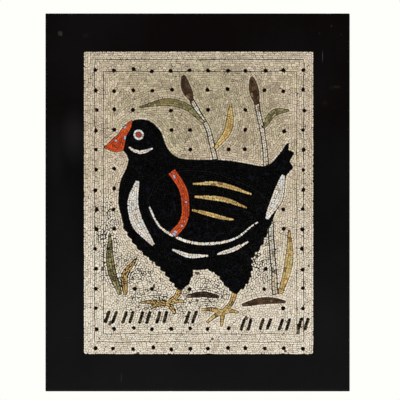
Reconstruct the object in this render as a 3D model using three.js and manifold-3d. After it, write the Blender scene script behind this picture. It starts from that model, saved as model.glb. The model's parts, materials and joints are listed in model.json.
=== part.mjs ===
import * as THREE from "three";
import { mergeVertices } from "three/addons/utils/BufferGeometryUtils.js";
import Module from "manifold-3d";

// A mosaic panel: a picture of tiny tesserae, set in mastic in the sunk face of a black marble slab.
// Millimetres. X runs to the right and Z up, the face looks towards -Y and the flat back lies on y = 0.
// Each field of the picture is one solid, its many tesserae fused, and all are flush with the face.

const wasm = await Module();
wasm.setup();

// Driving sizes
const slab = { width: 190, height: 236, thickness: 12, arris: 0.6 };
const inlay = { width: 144, height: 189.6, depth: 5, right: 0.65, up: -0.3 };
const tesseraDepth = 2.4;
const bedDepth = 2;
const gap = 0.3; // joint between two fields, and under the bed and the tesserae
const sampling = 4; // distance between two points of a long curve
const fineSampling = 2.4; // the same on short curves and narrow strokes
const smallestField = 6; // in square millimetres: anything less belongs to the joints

// How far the two border lines, of hand-laid courses, stand in from the inlay's edge on each side
const outerLine = { left: 6.9, right: 6.2, top: 5.1, bottom: 7.8 };
const innerLine = { left: 12.5, right: 10.6, top: 12.6, bottom: 12.8 };

// The short slanted strokes that stand in two rows under the picture
const strokes = { tall: 7.2, wide: 1.5, lean: 2.2, apart: 4.4, perPlace: 2 };
const strokePlaces = [
  { name: "left", x: -54.8, z: -71.4, count: 4, pitch: 10.6 },
  { name: "middle", x: -4.8, z: -71.4, count: 1, pitch: 0 },
  { name: "right", x: 29.7, z: -75.8, count: 4, pitch: 11.9 },
];

// Materials

function stone(color, roughness) {
  return new THREE.MeshStandardMaterial({ color, roughness, metalness: 0 });
}

const blackMarble = stone("#141213", 0.12);
const brownMastic = stone("#4a3a2c", 0.8);
const creamTesserae = stone("#c2b59c", 0.45);
const blackTesserae = stone("#09090c", 0.3);
const orangeTesserae = stone("#c4481c", 0.35);
const ochreTesserae = stone("#c9a55a", 0.4);
const whiteTesserae = stone("#ddd7c8", 0.4);
const brownTesserae = stone("#5a4636", 0.4);
const oliveTesserae = stone("#7d7449", 0.4);
const redTesserae = stone("#b5403a", 0.35);

// Outlines, as lists of [x, z] points

// A smooth open curve through a few points.
function arc(points, step = sampling) {
  const through = points.map(([x, z]) => new THREE.Vector3(x, z, 0));
  const curve = new THREE.CatmullRomCurve3(through, false, "centripetal");
  const spans = Math.max(2, Math.round(curve.getLength() / step));
  return curve.getSpacedPoints(spans).map((p) => [p.x, p.y]);
}

// A curve whose edge breaks out into pointed tufts on its left, as a row of feather tips does.
function tufted(points, toothLength, toothDepth) {
  const base = arc(points, toothLength);
  const edge = [];
  for (let i = 0; i + 1 < base.length; i += 1) {
    const [x, z] = base[i];
    const along = [base[i + 1][0] - x, base[i + 1][1] - z];
    const length = Math.hypot(...along);
    const out = [(-along[1] / length) * toothDepth, (along[0] / length) * toothDepth];
    edge.push([x, z], [x + along[0] * 0.75 + out[0], z + along[1] * 0.75 + out[1]]);
  }
  edge.push(base.at(-1));
  return edge;
}

// One closed outline out of arcs laid end to end, with a corner wherever two of them meet.
function outlineOf(...arcs) {
  const points = arcs.flat();
  const isNew = ([x, z], i) => {
    const [nextX, nextZ] = points[(i + 1) % points.length];
    return Math.hypot(nextX - x, nextZ - z) > 0.05;
  };
  return points.filter(isNew);
}

// A stroke along a path: the width goes from the first value over the middle one to the last.
function strokeOutline(path, widths) {
  const middle = arc(path, fineSampling);
  const left = [];
  const right = [];
  middle.forEach(([x, z], i) => {
    const before = middle[Math.max(i - 1, 0)];
    const after = middle[Math.min(i + 1, middle.length - 1)];
    const length = Math.hypot(after[0] - before[0], after[1] - before[1]);
    const side = [-(after[1] - before[1]) / length, (after[0] - before[0]) / length];
    const t = i / (middle.length - 1);
    const swell = Math.sin(Math.PI * t);
    const ends = widths[0] + (widths[2] - widths[0]) * t;
    const half = (ends + (widths[1] - (widths[0] + widths[2]) / 2) * swell) / 2;
    left.push([x + side[0] * half, z + side[1] * half]);
    right.unshift([x - side[0] * half, z - side[1] * half]);
  });
  return [...left, ...right];
}

function discOutline(x, z, radius, sides = 14) {
  const turn = (2 * Math.PI) / sides;
  return Array.from({ length: sides }, (_, i) => [
    x + radius * Math.cos(i * turn),
    z + radius * Math.sin(i * turn),
  ]);
}

// The rectangle that stands in from the inlay's edge by the given distances.
function rectangleOutline({ left, right, top, bottom }) {
  const west = -inlay.width / 2 + left;
  const east = inlay.width / 2 - right;
  const south = -inlay.height / 2 + bottom;
  const north = inlay.height / 2 - top;
  return [
    [west, south],
    [east, south],
    [east, north],
    [west, north],
  ];
}

// The same outline moved outwards by a distance, along the mean of each corner's two edges.
function grown(outline, distance) {
  const turned = THREE.ShapeUtils.isClockWise(outline.map(([x, z]) => new THREE.Vector2(x, z)));
  const points = turned ? outline.toReversed() : outline;
  const normalTo = (a, b) => {
    const length = Math.hypot(b[0] - a[0], b[1] - a[1]);
    return [(b[1] - a[1]) / length, (a[0] - b[0]) / length];
  };
  return points.map((point, i) => {
    const n1 = normalTo(points.at(i - 1), point);
    const n2 = normalTo(point, points[(i + 1) % points.length]);
    const mean = [n1[0] + n2[0], n1[1] + n2[1]];
    const spread = Math.max(1 + n1[0] * n2[0] + n1[1] * n2[1], 0.4);
    return [point[0] + (mean[0] * distance) / spread, point[1] + (mean[1] * distance) / spread];
  });
}

// Solids

// A closed solid for joining and cutting, from a geometry's positions alone.
function solidOf(geometry) {
  const bare = geometry.clone();
  bare.deleteAttribute("normal");
  bare.deleteAttribute("uv");
  const merged = mergeVertices(bare, 1e-4);
  const vertProperties = Float32Array.from(merged.attributes.position.array);
  const triVerts = Uint32Array.from(merged.index.array);
  return new wasm.Manifold(new wasm.Mesh({ numProp: 3, vertProperties, triVerts }));
}

function geometryOf(solid) {
  const { vertProperties, triVerts } = solid.getMesh();
  const geometry = new THREE.BufferGeometry();
  geometry.setAttribute("position", new THREE.BufferAttribute(Float32Array.from(vertProperties), 3));
  geometry.setIndex(new THREE.BufferAttribute(Uint32Array.from(triVerts), 1));
  geometry.computeVertexNormals();
  return geometry;
}

// An outline in X and Z carried forwards, towards -Y, from y = -start by a depth.
function plateOf(outline, start, depth, bevel = {}) {
  const shape = new THREE.Shape(outline.map(([x, z]) => new THREE.Vector2(x, z)));
  const geometry = new THREE.ExtrudeGeometry(shape, { depth, bevelEnabled: false, steps: 1, ...bevel });
  geometry.rotateX(Math.PI / 2);
  geometry.translate(0, -start, 0);
  return solidOf(geometry);
}

const faceStart = slab.thickness - tesseraDepth;

function fieldPlate(outline) {
  return plateOf(outline, faceStart, tesseraDepth);
}

// A cutter is a little wider than the field it leaves room for, and deeper than every field.
function cutterFor(outline) {
  return plateOf(grown(outline, gap), faceStart - 1, tesseraDepth + 2);
}

function meshOf(name, solid, material) {
  const mesh = new THREE.Mesh(geometryOf(solid), material);
  mesh.name = name;
  return mesh;
}

// The slab and the bed

function marbleSurround() {
  const { width, height, thickness, arris } = slab;
  const edge = { left: -width / 2, right: width / 2, bottom: -height / 2, top: height / 2 };
  const outline = [
    [edge.left, edge.bottom],
    [edge.right, edge.bottom],
    [edge.right, edge.top],
    [edge.left, edge.top],
  ];
  const bevel = {
    bevelEnabled: true,
    bevelThickness: arris,
    bevelSize: arris,
    bevelOffset: -arris,
    bevelSegments: 2,
  };
  const block = plateOf(outline, arris, thickness - 2 * arris, bevel);
  const none = { left: 0, right: 0, top: 0, bottom: 0 };
  const recess = plateOf(rectangleOutline(none), thickness - inlay.depth, inlay.depth + 1);
  return block.subtract(recess.translate(inlay.right, 0, inlay.up));
}

function masticBed() {
  const inset = { left: gap, right: gap, top: gap, bottom: gap };
  return plateOf(rectangleOutline(inset), slab.thickness - inlay.depth + gap, bedDepth);
}

// The border courses: a frame of tesserae between two rectangles.
function borderCourses(outer, inner) {
  const wider = Object.fromEntries(Object.entries(outer).map(([side, inset]) => [side, inset + gap]));
  const hole = plateOf(rectangleOutline(inner), faceStart - 1, tesseraDepth + 2);
  return fieldPlate(rectangleOutline(wider)).subtract(hole);
}

// The picture: a large black water bird, facing left, among reeds.
// Fields are listed from the front of the picture to the back: each is cut around those before it.

function birdBody() {
  const crown = [[-46, 46.5], [-40.5, 51.5], [-31, 51], [-23.5, 44], [-20, 34], [-13, 28], [0, 26.5]];
  const back = [[0, 26.5], [16, 26.5], [31, 24], [43, 23], [50, 29.5], [57, 40]];
  const tailTips = [[57, 40], [55.6, 33], [59.4, 31.5], [56.6, 26], [58.6, 22], [54.5, 17.5]];
  const vent = [[54.5, 17.5], [52, 6], [48, -6], [42.5, -17]];
  const rearBelly = [[42.5, -17], [38, -27], [32, -34]];
  const rightThighBack = [[32, -34], [32.5, -43], [28, -52], [22.5, -56]];
  const rightThighFront = [[22.5, -56], [17, -51], [12, -44], [6, -41]];
  const belly = [[6, -41], [1, -42], [-4, -41.5]];
  const leftThighBack = [[-4, -41.5], [-5, -47], [-8.5, -52], [-12, -54]];
  const leftThighFront = [[-12, -54], [-17, -48], [-22, -41.5], [-27, -37]];
  const lowerBreast = [[-27, -37], [-38.5, -27], [-46.5, -14]];
  const upperBreast = [[-46.5, -14], [-50, 1], [-48.6, 13], [-45, 22], [-43.5, 27]];
  const chin = [[-43.5, 27], [-44.5, 30], [-46.5, 32.5]];
  const face = [[-46.5, 32.5], [-49, 36], [-49, 41], [-46, 46.5]];
  return outlineOf(
    arc(crown),
    arc(back),
    tailTips,
    arc(vent),
    tufted(rearBelly, 4.6, 1.5),
    tufted(rightThighBack, 4.6, 1.5),
    tufted(rightThighFront, 4.6, 1.1),
    arc(belly),
    tufted(leftThighBack, 4.6, 1.1),
    tufted(leftThighFront, 4.6, 1.5),
    tufted(lowerBreast, 5.4, 1.2),
    arc(upperBreast),
    arc(chin),
    arc(face),
  );
}

function wingOutline() {
  const top = [[-30, 4], [-26, 13.5], [-13, 19.5], [6, 19], [23, 14], [35, 8], [43.5, 1.5]];
  const tips = [[43.5, 1.5], [33, -10], [18, -17.5], [2, -21], [-14, -20], [-28, -11], [-30, 4]];
  return outlineOf(arc(top), tufted(tips, 9, 2));
}

function beakOutline() {
  const upper = [[-59, 34.5], [-54.5, 39], [-49.8, 43], [-46, 48.6], [-41.5, 52]];
  const shieldBack = [[-41.5, 52], [-42.2, 47], [-45, 42], [-46, 37], [-47, 32.8]];
  const lower = [[-47, 32.8], [-52.5, 32.2], [-59, 34.5]];
  return outlineOf(arc(upper, fineSampling), arc(shieldBack, fineSampling), arc(lower, fineSampling));
}

// A leg is its shank and four toes, each a stroke, joined where they meet at the foot.
function legSolid({ shank, foot, toes }) {
  const toe = (tip) => {
    const middle = [(foot[0] + tip[0]) / 2, (foot[1] + tip[1]) / 2 + 0.9];
    return fieldPlate(strokeOutline([foot, middle, tip], [2.4, 2.1, 1]));
  };
  const start = fieldPlate(strokeOutline([...shank, foot], [3.4, 2.7, 3]));
  return toes.reduce((leg, tip) => leg.add(toe(tip)), start);
}

const leftLeg = {
  shank: [[-12, -54.6], [-14.5, -59]],
  foot: [-19, -62.6],
  toes: [[-36, -62.4], [-30, -65.4], [-14.5, -69.6], [-9, -61.8]],
};
const rightLeg = {
  shank: [[22.4, -56.6], [20.5, -62]],
  foot: [15.5, -68],
  toes: [[1.8, -66.8], [5, -74.6], [14.2, -77], [24.6, -68.6]],
};

// Strokes of the picture: the name, the points of the path, the widths from end to end, the material.
const strokesOfTheBird = [
  ["wing_band", [[-17, 19.6], [-10.5, 10], [-8, -1], [-10, -12.5], [-16, -20]], [4.6, 4.8, 4.6],
    orangeTesserae],
  ["wing_feather_high", [[-3.6, 12], [14, 11.5], [33, 5.5]], [1.2, 3, 1], ochreTesserae],
  ["wing_feather_middle", [[-3, 4], [13, 2.5], [30, -3]], [1.2, 3, 1], ochreTesserae],
  ["wing_feather_low", [[-4, -4.5], [8, -7.5], [22, -10.5]], [1.2, 2.8, 1], ochreTesserae],
  ["wing_edge", [[-31, -2], [-24, -15], [-9, -23.5], [7, -25.6], [23, -22], [37, -12]], [1, 1.9, 0.8],
    whiteTesserae],
  ["cheek_line", [[-43.4, 34.6], [-37.5, 31.6], [-28.5, 34.2]], [1, 2.3, 0.8], whiteTesserae],
  ["breast_patch", [[-38, 14], [-41, 0], [-38, -13], [-28, -26]], [2, 7.5, 2], whiteTesserae],
  ["undertail", [[52.8, 17.5], [49.4, 4], [42.4, -10]], [2, 6.5, 2], whiteTesserae],
  ["flank_feather_front", [[-17, -29], [-6, -33], [6, -33]], [1, 2.8, 1], whiteTesserae],
  ["flank_feather_rear", [[11, -32], [21, -29.5], [31, -24]], [1, 2.8, 1], whiteTesserae],
];

const plantsAndShadows = [
  ["shadow_left", [[-7.5, -58.5], [2, -57], [12.5, -58.5]], [1.2, 3.2, 1.2], brownTesserae],
  ["shadow_right", [[27.5, -64], [40, -61], [54, -62]], [1.4, 4, 1.2], brownTesserae],
  ["seed_head_middle", [[-4, 64], [-7.4, 71], [-9.6, 79.5]], [1.6, 5.6, 1.6], brownTesserae],
  ["seed_head_right", [[36.4, 62], [34.6, 69.5], [33.4, 78.5]], [1.6, 5.6, 1.6], brownTesserae],
  ["leaf_middle", [[3, 50], [-7, 59.5], [-21, 63], [-37, 59.5]], [1.2, 4.2, 0.5], oliveTesserae],
  ["leaf_between", [[10.2, 34], [18.5, 46], [20, 63]], [1.4, 4.2, 0.5], ochreTesserae],
  ["leaf_right_high", [[40.6, 47], [46.5, 56], [56.8, 57.5]], [1.2, 3.8, 0.5], oliveTesserae],
  ["leaf_right_low", [[51, -56.6], [56.2, -38], [56.6, -16]], [2, 4.4, 0.5], ochreTesserae],
  ["leaf_left_tall", [[-49, -57], [-54.6, -41], [-55.6, -19]], [2, 4.4, 0.5], oliveTesserae],
  ["leaf_left_short", [[-45.5, -57], [-46.4, -46], [-39, -35]], [1.6, 3.8, 0.5], ochreTesserae],
  ["reed_middle", [[11.5, 22], [6, 45], [-4.5, 64.6]], [2.8, 2.6, 2.2], creamTesserae],
  [["reed_right_foot", "reed_right_top"], [[48, -57], [46, -30], [43.6, 5], [40.5, 40], [36.2, 62.6]],
    [3, 2.8, 2.4], creamTesserae],
];

// The slanted strokes, place by place along the two rows.
function inscriptionStrokes() {
  const { tall, wide, lean, apart, perPlace } = strokes;
  const bars = {};
  for (const { name, x, z, count, pitch } of strokePlaces) {
    for (let place = 0; place < count; place += 1) {
      for (let bar = 0; bar < perPlace; bar += 1) {
        const centre = x + place * pitch + (bar - (perPlace - 1) / 2) * apart;
        const low = centre - lean / 2;
        const high = centre + lean / 2;
        bars[`stroke_${name}_${place + 1}_${bar + 1}`] = [
          [low - wide / 2, z - tall / 2],
          [low + wide / 2, z - tall / 2],
          [high + wide / 2, z + tall / 2],
          [high - wide / 2, z + tall / 2],
        ];
      }
    }
  }
  return bars;
}

// Lays the fields side by side: each new one gives way to all those already there.
class Picture {
  constructor() {
    this.group = new THREE.Group();
    this.group.position.set(inlay.right, 0, inlay.up);
    this.taken = null;
  }

  // Adds a field. What lies before it may part it: its bodies take its names, the largest one first.
  add(names, plate, cutter, material) {
    const free = this.taken ? plate.subtract(this.taken) : plate;
    const smallest = smallestField * tesseraDepth;
    const bodies = free.decompose().filter((body) => body.volume() > smallest);
    bodies.sort((a, b) => b.volume() - a.volume());
    bodies.forEach((body, i) => this.group.add(meshOf([names].flat()[i], body, material)));
    if (cutter) {
      this.taken = this.taken ? this.taken.add(cutter) : cutter;
    }
  }

  addOutline(names, outline, material) {
    this.add(names, fieldPlate(outline), cutterFor(outline), material);
  }

  addStrokes(table) {
    for (const [names, path, widths, material] of table) {
      this.addOutline(names, strokeOutline(path, widths), material);
    }
  }
}

function legCutter(leg) {
  const around = [[gap, 0], [-gap, 0], [0, gap], [0, -gap]];
  const moved = around.map(([x, z]) => legSolid(leg).translate(x, 0, z));
  return moved.reduce((whole, next) => whole.add(next));
}

function birdAndReeds() {
  const picture = new Picture();
  picture.addOutline("eye", discOutline(-37.5, 42.5, 1.7), redTesserae);
  picture.addOutline("eye_ring", discOutline(-37.5, 42.5, 3.3), whiteTesserae);
  picture.addOutline("beak_and_shield", beakOutline(), orangeTesserae);
  picture.addStrokes(strokesOfTheBird);
  picture.addOutline(["wing", "wing_shoulder"], wingOutline(), blackTesserae);
  picture.addOutline("bird_body", birdBody(), blackTesserae);
  picture.add("leg_left", legSolid(leftLeg), legCutter(leftLeg), ochreTesserae);
  picture.add("leg_right", legSolid(rightLeg), legCutter(rightLeg), ochreTesserae);
  picture.addStrokes(plantsAndShadows);
  for (const [name, outline] of Object.entries(inscriptionStrokes())) {
    picture.addOutline(name, outline, blackTesserae);
  }
  const edge = { left: 0, right: 0, top: 0, bottom: 0 };
  const { left, right, top, bottom } = innerLine;
  const within = { left: left + gap, right: right + gap, top: top + gap, bottom: bottom + gap };
  picture.add("ground_tesserae", fieldPlate(rectangleOutline(within)), null, creamTesserae);
  picture.add("border_inner_courses", borderCourses(outerLine, innerLine), null, creamTesserae);
  picture.add("border_outer_courses", borderCourses(edge, outerLine), null, creamTesserae);
  picture.group.add(meshOf("mastic_bed", masticBed(), brownMastic));
  return picture.group;
}

const panel = new THREE.Group();
panel.add(meshOf("marble_surround", marbleSurround(), blackMarble));
panel.add(birdAndReeds());

export default panel;
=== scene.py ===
import json
import math
import bpy
import numpy as np
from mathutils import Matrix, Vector
from mathutils.geometry import delaunay_2d_cdt


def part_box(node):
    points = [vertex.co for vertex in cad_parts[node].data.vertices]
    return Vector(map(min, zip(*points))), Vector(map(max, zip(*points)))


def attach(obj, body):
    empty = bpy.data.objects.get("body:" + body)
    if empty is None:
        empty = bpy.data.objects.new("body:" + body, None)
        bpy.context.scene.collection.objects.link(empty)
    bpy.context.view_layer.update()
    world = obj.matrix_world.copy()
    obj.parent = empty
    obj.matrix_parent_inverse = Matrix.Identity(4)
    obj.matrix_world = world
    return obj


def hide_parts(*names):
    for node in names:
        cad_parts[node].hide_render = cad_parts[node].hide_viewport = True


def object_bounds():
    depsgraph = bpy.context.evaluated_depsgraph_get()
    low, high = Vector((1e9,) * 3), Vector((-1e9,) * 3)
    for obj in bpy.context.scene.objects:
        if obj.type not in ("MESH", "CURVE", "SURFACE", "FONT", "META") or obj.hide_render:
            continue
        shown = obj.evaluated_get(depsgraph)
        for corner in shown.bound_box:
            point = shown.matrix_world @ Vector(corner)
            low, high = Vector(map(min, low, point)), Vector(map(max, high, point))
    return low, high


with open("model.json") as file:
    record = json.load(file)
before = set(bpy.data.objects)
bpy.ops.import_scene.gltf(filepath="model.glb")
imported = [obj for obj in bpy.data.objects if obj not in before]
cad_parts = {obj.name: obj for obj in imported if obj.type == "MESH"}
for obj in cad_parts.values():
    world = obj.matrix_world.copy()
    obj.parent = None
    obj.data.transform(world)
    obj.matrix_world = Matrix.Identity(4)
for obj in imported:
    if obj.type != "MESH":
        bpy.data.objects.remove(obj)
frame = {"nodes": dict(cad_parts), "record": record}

# A mosaic panel: thousands of small tesserae in a sunk bed in a polished black marble slab.
# The frame is in metres. The layout of the tesserae is worked out in millimetres, X right and Z up.

scene = bpy.context.scene
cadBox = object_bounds()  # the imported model's box, before any piece is added
metre = 0.001  # one millimetre of layout
faceY = cadBox[0].y  # the plane of the polished face, which looks towards -Y
draw = np.random.default_rng(1871)  # every random draw, in one fixed order
chunk = 400  # points compared at once, to spare memory
pairsAtOnce = 4_000_000


# Camera, floor and light

studio = {
    "cameraDistance": 1.8,  # metres from the face
    "widthSeen": 0.2497,  # metres of the face that fill the picture's width
    "aim": 0.0015,  # how far right of the middle and above it the camera looks
    "floorDrop": 0.055,  # metres from the slab's lower edge down to the floor
    "floorRadius": 0.6,
    "floorGlow": 0.42,
    "backdropColour": (0.99, 1.0, 0.955),
    "skyStrength": 0.34,  # how much of the backdrop's light falls on the object
    "lamps": {  # place from the middle of the face, size and watts
        "keyLight": ((-0.9, -1.3, 0.9), 0.9, 15.5),
        "fillLight": ((1.1, -1.1, 0.1), 1.0, 7.0),
        "rimLight": ((0.5, 1.212, 0.9), 0.8, 5.0),
    },
}


def addObject(name, data):
    thing = bpy.data.objects.new(name, data)
    scene.collection.objects.link(thing)
    return thing


def setCamera():
    # focal length = sensor width times distance over the width seen
    camera = bpy.data.cameras.new("camera")
    camera.sensor_width = 36
    camera.lens = camera.sensor_width * studio["cameraDistance"] / studio["widthSeen"]
    holder = addObject("camera", camera)
    holder.location = (studio["aim"], faceY - studio["cameraDistance"], studio["aim"])
    holder.rotation_euler = (math.pi / 2, 0, 0)
    scene.camera = holder


def setLamps():
    # square lamps that face the middle of the panel
    for name, ((x, y, z), size, watts) in studio["lamps"].items():
        lamp = bpy.data.lights.new(name, "AREA")
        lamp.size = size
        lamp.energy = watts
        holder = addObject(name, lamp)
        holder.location = (x, faceY + y, z)
        holder.rotation_euler = (-holder.location).to_track_quat("-Z", "Y").to_euler()


def setSky():
    # the camera sees the full backdrop, everything else gets a share of its light
    world = bpy.data.worlds.new("backdrop")
    world.use_nodes = True
    wire = Wire(world.node_tree)
    background = world.node_tree.nodes["Background"].inputs
    share = {"Value": wire.node("LightPath"), "To Min": studio["skyStrength"], "To Max": 1.0}
    wire.feed(background["Color"], studio["backdropColour"])
    wire.feed(background["Strength"], wire.node("MapRange", share))
    scene.world = world


# Shader maths

class Wire:
    # one socket of a material's nodes: sums and products with it add Math nodes
    def __init__(self, tree, socket=None):
        self.tree = tree
        self.socket = socket

    def node(self, kind, sockets={}, output=0, **settings):
        made = self.tree.nodes.new("ShaderNode" + kind)
        for name, setting in settings.items():
            setattr(made, name, setting)
        for name, value in sockets.items():
            self.feed(made.inputs[name], value)
        return Wire(self.tree, made.outputs[output])

    def feed(self, socket, value):
        if isinstance(value, Wire):
            self.tree.links.new(value.socket, socket)
        else:
            socket.default_value = (*value, 1) if socket.type == "RGBA" else value

    def math(self, operation, first, second):
        return self.node("Math", {0: first, 1: second}, operation=operation)

    def __add__(self, other):
        return self.math("ADD", self, other)

    def __sub__(self, other):
        return self.math("SUBTRACT", self, other)

    def __rsub__(self, other):
        return self.math("SUBTRACT", other, self)

    def __mul__(self, other):
        return self.math("MULTIPLY", self, other)

    __radd__ = __add__
    __rmul__ = __mul__

    def over(self, low, high):
        # 0 below low, 1 above high, a smooth step between them
        ends = {"Value": self, "From Min": low, "From Max": high}
        return self.node("MapRange", ends, interpolation_type="SMOOTHSTEP")

    def blend(self, first, second):
        # the first colour where this mask is 0, the second where it is 1
        return self.node("Mix", {0: self, 6: first, 7: second}, 2, data_type="RGBA")

    def times(self, colour):
        # this colour with another one laid over it like a glaze
        return self.node("Mix", {0: 1.0, 6: self, 7: colour}, 2, data_type="RGBA", blend_type="MULTIPLY")


def startMaterial(name):
    material = bpy.data.materials.new(name)
    material.use_nodes = True
    return material, Wire(material.node_tree)


def feedShader(wire, looks):
    for name, value in looks.items():
        wire.feed(wire.tree.nodes["Principled BSDF"].inputs[name], value)


def dress(wire, colour, roughness, shine, bumps):
    # bumps are their strength, their height in metres and their pattern
    relief = wire.node("Bump", dict(zip(("Strength", "Distance", "Height"), bumps)))
    feedShader(wire, {"Base Color": colour, "Roughness": roughness, "Specular IOR Level": shine,
                      "Normal": relief})


def place(wire):
    return wire.node("TexCoord", output=3)  # object coordinates, in metres


def grain(wire, size, detail=2.0, stretch=(1, 1, 1)):
    # smooth noise from 0 to 1 whose lumps are about the given size in millimetres
    at = wire.node("Mapping", {"Vector": place(wire), "Scale": stretch})
    return wire.node("TexNoise", {"Vector": at, "Scale": 0.5 / (size * metre), "Detail": detail})


def attribute(wire, name):
    return wire.node("Attribute", output=2, attribute_name=name)


# Outlines of the picture's fields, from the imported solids' front faces

def lengthOf(vectors):
    # the root of x squared plus z squared
    return np.hypot(vectors[:, 0], vectors[:, 1])


def unit(vectors):
    # each vector over its length
    return vectors / np.maximum(lengthOf(vectors), 1e-6)[:, None]


def cross(first, second):
    # x times the other's z less z times its x
    return first[:, 0] * second[:, 1] - first[:, 1] * second[:, 0]


def edgesOf(triangles):
    # every triangle's three sides
    return np.concatenate([triangles[:, [0, 1]], triangles[:, [1, 2]], triangles[:, [2, 0]]])


def frontEdges(name):
    # the rim of the solid's front face: directed edges with the field on their left, seen from the front
    mesh = frame["nodes"][name].data
    mesh.calc_loop_triangles()
    points = np.empty((len(mesh.vertices), 3), np.float32)
    mesh.vertices.foreach_get("co", points.ravel())
    corners = np.empty((len(mesh.loop_triangles), 3), np.int32)
    mesh.loop_triangles.foreach_get("vertices", corners.ravel())
    triangles = points.astype(float)[corners] / metre
    isFront = (triangles[:, :, 1] < triangles[:, :, 1].min() + 0.01).all(axis=1)
    flat = triangles[isFront][:, :, [0, 2]].reshape(-1, 2)
    spots, index = np.unique(np.round(flat, 3), axis=0, return_inverse=True)
    edges = edgesOf(index.reshape(-1, 3))
    edges = edges[edges[:, 0] != edges[:, 1]]
    _, first, times = np.unique(np.sort(edges, axis=1), axis=0, return_index=True, return_counts=True)
    return spots, edges[first[times == 1]]


def loopsOf(spots, edges):
    # the rim's edges chained into closed loops of points
    following = dict(edges.tolist())
    loops = []
    while following:
        here, chain = next(iter(following)), []
        while here in following:
            chain.append(here)
            here = following.pop(here)
        loops.append(spots[chain])
    return loops


def sizeOf(rim):
    # the lowest and the highest corner of the box round a rim
    return rim.min(axis=(0, 1)), rim.max(axis=(0, 1))


def rimDistance(points, rim):
    # distance of each point to a rim, minus outside the field, and the inward normal at the nearest place
    starts, along = rim[:, 0], rim[:, 1] - rim[:, 0]
    lengths = lengthOf(along)
    away = np.empty(len(points))
    normals = np.empty((len(points), 2))
    rows = max(1, pairsAtOnce // len(rim))
    for low in range(0, len(points), rows):
        fromStart = points[low:low + rows, None, :] - starts
        share = np.clip((fromStart * along).sum(axis=2) / lengths ** 2, 0, 1)
        gap = fromStart - share[:, :, None] * along
        square = (gap ** 2).sum(axis=2)
        nearest = np.arange(len(gap)), square.argmin(axis=1)
        away[low:low + rows] = np.sqrt(square[nearest])
        normals[low:low + rows] = gap[nearest]
    sign = np.where(insideRim(points, rim), 1.0, -1.0)
    normals *= (sign / np.maximum(away, 1e-9))[:, None]
    return away * sign, normals


def isNear(points, rim, distance):
    # which points lie nearer to the rim, on either side, than the distance
    return np.abs(rimDistance(points, rim)[0]) < distance


def insideRim(points, rim):
    # even-odd rule: a point is inside when a line to its right crosses the rim an odd number of times
    low, high = rim[:, 0], rim[:, 1]
    isIn = np.empty(len(points), bool)
    rows = max(1, pairsAtOnce // len(rim))
    for start in range(0, len(points), rows):
        x, z = points[start:start + rows, 0, None], points[start:start + rows, 1, None]
        spans = (low[:, 1] > z) != (high[:, 1] > z)
        rise = np.where(high[:, 1] == low[:, 1], 1.0, high[:, 1] - low[:, 1])
        crossing = low[:, 0] + (z - low[:, 1]) * (high[:, 0] - low[:, 0]) / rise
        isIn[start:start + rows] = (spans & (x < crossing)).sum(axis=1) % 2 == 1
    return isIn


# Laying the tesserae: two seeds for each long one, course by course

laying = {
    "pitch": 1.35,  # millimetres from one course to the next
    "half": 1.42,  # half the length of a long tessera, along its course
    "uneven": 0.17,  # how much the lengths vary, as a share of the half length
    "breakFrom": 1.42,  # a gap of this many half lengths ends a run of long tesserae
    "wander": 0.08,  # how far a seed strays from its course, as a share of the pitch
    "sway": 0.5,  # the courses of the ground bend by up to this many millimetres
    "swayWaves": ((17, 0.4), (21, 1.3)),
    "swayFull": 9,  # how far inside the border they bend that much
    "shortOnes": 0.16,  # share of the tesserae that are half as long
    "rowsRoundPicture": 2,  # courses of the ground that follow the picture's outline
    "mostRows": 60,
    "fewCourses": 5,  # a field with fewer courses than this has them evenly spaced
    "probes": 1500,  # random places that find out how wide a field is
    "closest": 0.64,  # two seeds are never nearer than this share of the pitch
    "gapFill": 0.82,  # nor a seed that fills a gap than this share
    "leastSide": 0.55,  # share of the pitch that two cells of one tessera have in common
    "rimJoint": 0.13,
    "overlap": 0.08,  # how far a corner may lie outside its field
    "fine": 0.12,  # step along a loop while a course is laid
    "slack": 0.16,
}
pitch = laying["pitch"]
closest = laying["closest"] * pitch


def squaredGaps(part, others):
    # every point's squared distance to every other one
    part, others = part.astype(np.float32), others.astype(np.float32)
    return (part[:, 0, None] - others[:, 0]) ** 2 + (part[:, 1, None] - others[:, 1]) ** 2


def gridOf(low, high, counts):
    # evenly spaced places, in rows of columns, from one corner to the other
    return np.stack(np.meshgrid(*(np.linspace(*ends) for ends in zip(low, high, counts))), axis=2)


def spread(points, others, distance):
    # which points are at least a distance away from all the others
    isFar = np.ones(len(points), bool)
    for low in range(0, len(points) * (len(others) > 0), chunk):
        square = squaredGaps(points[low:low + chunk], others)
        isFar[low:low + chunk] = square.min(axis=1) >= distance ** 2
    return isFar


def thinned(points, distance):
    # drops each point that has an earlier one of the same list nearer than the distance
    keep = np.ones(len(points), bool)
    for low in range(0, len(points), chunk):
        square = squaredGaps(points[low:low + chunk], points[:low + chunk])
        earlier = np.arange(square.shape[1]) < (low + np.arange(len(square)))[:, None]
        keep[low:low + chunk] = ~((square < distance ** 2) & earlier).any(axis=1)
    return points[keep]


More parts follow.
